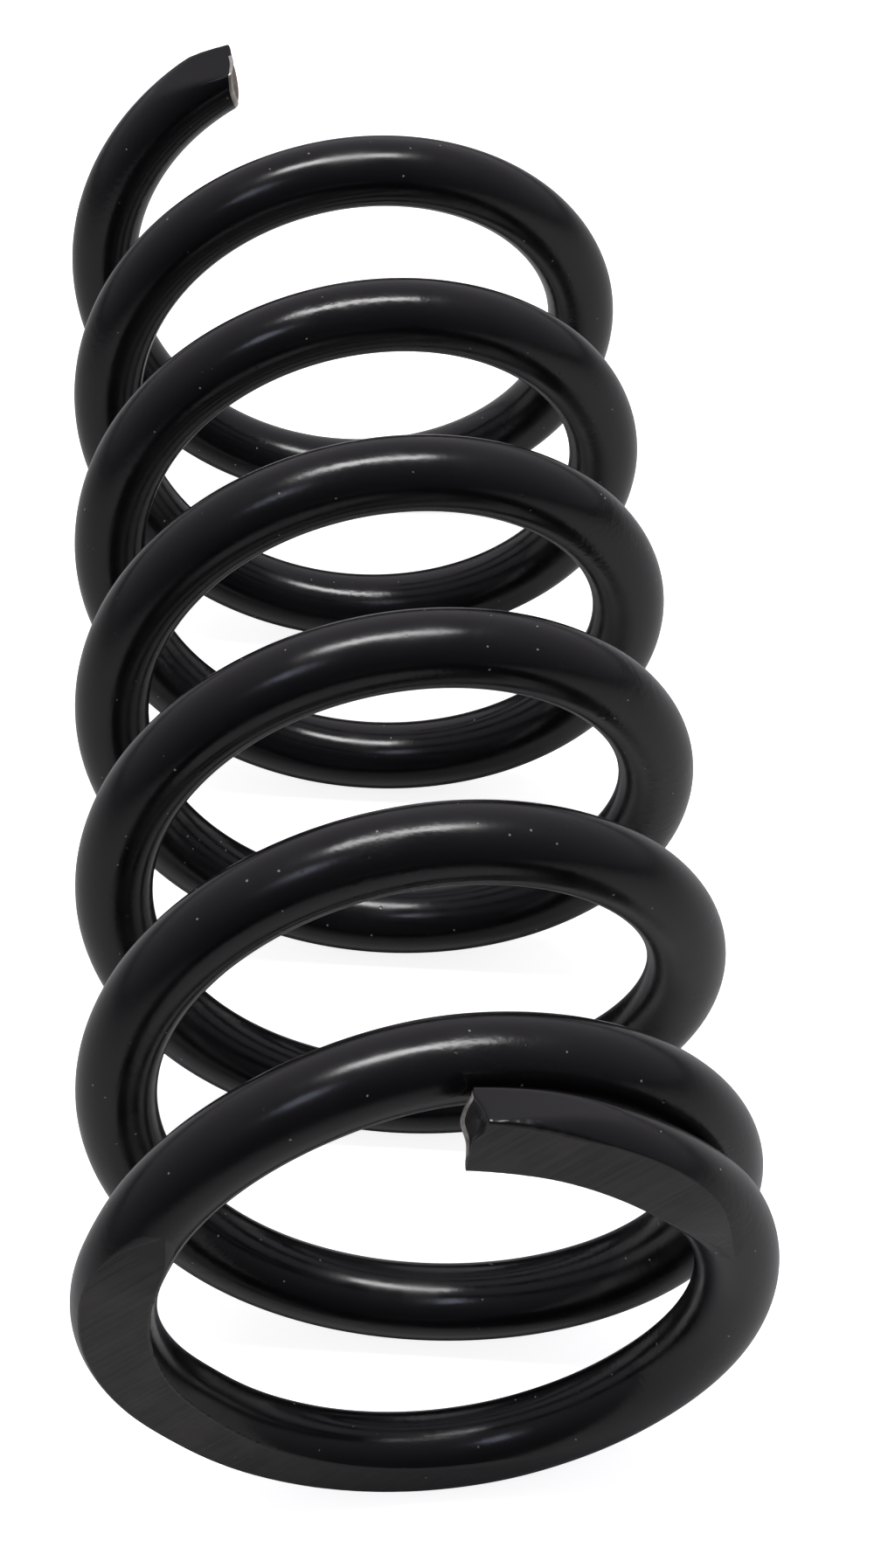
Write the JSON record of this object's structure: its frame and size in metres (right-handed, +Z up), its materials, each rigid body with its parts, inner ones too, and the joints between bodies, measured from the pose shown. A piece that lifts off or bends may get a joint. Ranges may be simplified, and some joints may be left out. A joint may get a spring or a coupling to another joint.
{
  "type": "coil spring",
  "caption": "Right-hand compression spring of round wire for a vehicle suspension, one end closed and ground flat, the other open and sheared square.",
  "frame": {"origin": "on the surface the spring lies on, under the middle of its length", "axes": "+Y along the coil's axis, from the ground end to the open end; +Z up"},
  "size_m": [0.1154, 0.2825, 0.1153],
  "materials": {
    "painted_wire": "semi-gloss black paint over spring steel"
  },
  "bodies": {
    "ground_end": {"ground_tip": "painted_wire", "ground_turn_2": "painted_wire", "ground_turn_3": "painted_wire", "ground_turn_4": "painted_wire", "lead_out": "painted_wire"},
    "active_01": {"active_01": "painted_wire"},
    "active_02": {"active_02": "painted_wire"},
    "active_03": {"active_03": "painted_wire"},
    "active_04": {"active_04": "painted_wire"},
    "active_05": {"active_05": "painted_wire"},
    "active_06": {"active_06": "painted_wire"},
    "active_07": {"active_07": "painted_wire"},
    "active_08": {"active_08": "painted_wire"},
    "active_09": {"active_09": "painted_wire"},
    "active_10": {"active_10": "painted_wire"},
    "active_11": {"active_11": "painted_wire"},
    "active_12": {"active_12": "painted_wire"},
    "active_13": {"active_13": "painted_wire"},
    "active_14": {"active_14": "painted_wire"},
    "active_15": {"active_15": "painted_wire"},
    "active_16": {"active_16": "painted_wire"},
    "active_17": {"active_17": "painted_wire"},
    "active_18": {"active_18": "painted_wire"},
    "active_19": {"active_19": "painted_wire"},
    "active_20": {"active_20": "painted_wire"},
    "open_end": {"open_turn_1": "painted_wire", "open_turn_2": "painted_wire", "open_tip": "painted_wire"}
  },
  "joints": [
    {"name": "compression", "type": "slide", "parent": "ground_end", "child": "open_end", "axis": [0, -1, 0], "range_m": [0, 0.1235], "stiffness_N_per_m": 68700},
    {"name": "close_01", "type": "slide", "parent": "ground_end", "child": "active_01", "axis": [0, -1, 0], "range_m": [0, 0.0039]},
    {"name": "close_02", "type": "slide", "parent": "active_01", "child": "active_02", "axis": [0, -1, 0], "range_m": [0, 0.0064]},
    {"name": "close_03", "type": "slide", "parent": "active_02", "child": "active_03", "axis": [0, -1, 0], "range_m": [0, 0.0064]},
    {"name": "close_04", "type": "slide", "parent": "active_03", "child": "active_04", "axis": [0, -1, 0], "range_m": [0, 0.0064]},
    {"name": "close_05", "type": "slide", "parent": "active_04", "child": "active_05", "axis": [0, -1, 0], "range_m": [0, 0.0064]},
    {"name": "close_06", "type": "slide", "parent": "active_05", "child": "active_06", "axis": [0, -1, 0], "range_m": [0, 0.0064]},
    {"name": "close_07", "type": "slide", "parent": "active_06", "child": "active_07", "axis": [0, -1, 0], "range_m": [0, 0.0064]},
    {"name": "close_08", "type": "slide", "parent": "active_07", "child": "active_08", "axis": [0, -1, 0], "range_m": [0, 0.0064]},
    {"name": "close_09", "type": "slide", "parent": "active_08", "child": "active_09", "axis": [0, -1, 0], "range_m": [0, 0.0064]},
    {"name": "close_10", "type": "slide", "parent": "active_09", "child": "active_10", "axis": [0, -1, 0], "range_m": [0, 0.0064]},
    {"name": "close_11", "type": "slide", "parent": "active_10", "child": "active_11", "axis": [0, -1, 0], "range_m": [0, 0.0064]},
    {"name": "close_12", "type": "slide", "parent": "active_11", "child": "active_12", "axis": [0, -1, 0], "range_m": [0, 0.0064]},
    {"name": "close_13", "type": "slide", "parent": "active_12", "child": "active_13", "axis": [0, -1, 0], "range_m": [0, 0.0064]},
    {"name": "close_14", "type": "slide", "parent": "active_13", "child": "active_14", "axis": [0, -1, 0], "range_m": [0, 0.0064]},
    {"name": "close_15", "type": "slide", "parent": "active_14", "child": "active_15", "axis": [0, -1, 0], "range_m": [0, 0.0064]},
    {"name": "close_16", "type": "slide", "parent": "active_15", "child": "active_16", "axis": [0, -1, 0], "range_m": [0, 0.0064]},
    {"name": "close_17", "type": "slide", "parent": "active_16", "child": "active_17", "axis": [0, -1, 0], "range_m": [0, 0.0064]},
    {"name": "close_18", "type": "slide", "parent": "active_17", "child": "active_18", "axis": [0, -1, 0], "range_m": [0, 0.0064]},
    {"name": "close_19", "type": "slide", "parent": "active_18", "child": "active_19", "axis": [0, -1, 0], "range_m": [0, 0.0064]},
    {"name": "close_20", "type": "slide", "parent": "active_19", "child": "active_20", "axis": [0, -1, 0], "range_m": [0, 0.0064]}
  ],
  "couplings": [
    {"joint": "close_01", "follows": "compression", "ratio": 0.030769},
    {"joint": "close_02", "follows": "compression", "ratio": 0.051012},
    {"joint": "close_03", "follows": "compression", "ratio": 0.051012},
    {"joint": "close_04", "follows": "compression", "ratio": 0.051012},
    {"joint": "close_05", "follows": "compression", "ratio": 0.051012},
    {"joint": "close_06", "follows": "compression", "ratio": 0.051012},
    {"joint": "close_07", "follows": "compression", "ratio": 0.051012},
    {"joint": "close_08", "follows": "compression", "ratio": 0.051012},
    {"joint": "close_09", "follows": "compression", "ratio": 0.051012},
    {"joint": "close_10", "follows": "compression", "ratio": 0.051012},
    {"joint": "close_11", "follows": "compression", "ratio": 0.051012},
    {"joint": "close_12", "follows": "compression", "ratio": 0.051012},
    {"joint": "close_13", "follows": "compression", "ratio": 0.051012},
    {"joint": "close_14", "follows": "compression", "ratio": 0.051012},
    {"joint": "close_15", "follows": "compression", "ratio": 0.051012},
    {"joint": "close_16", "follows": "compression", "ratio": 0.051012},
    {"joint": "close_17", "follows": "compression", "ratio": 0.051012},
    {"joint": "close_18", "follows": "compression", "ratio": 0.051012},
    {"joint": "close_19", "follows": "compression", "ratio": 0.051012},
    {"joint": "close_20", "follows": "compression", "ratio": 0.051012}
  ]
}
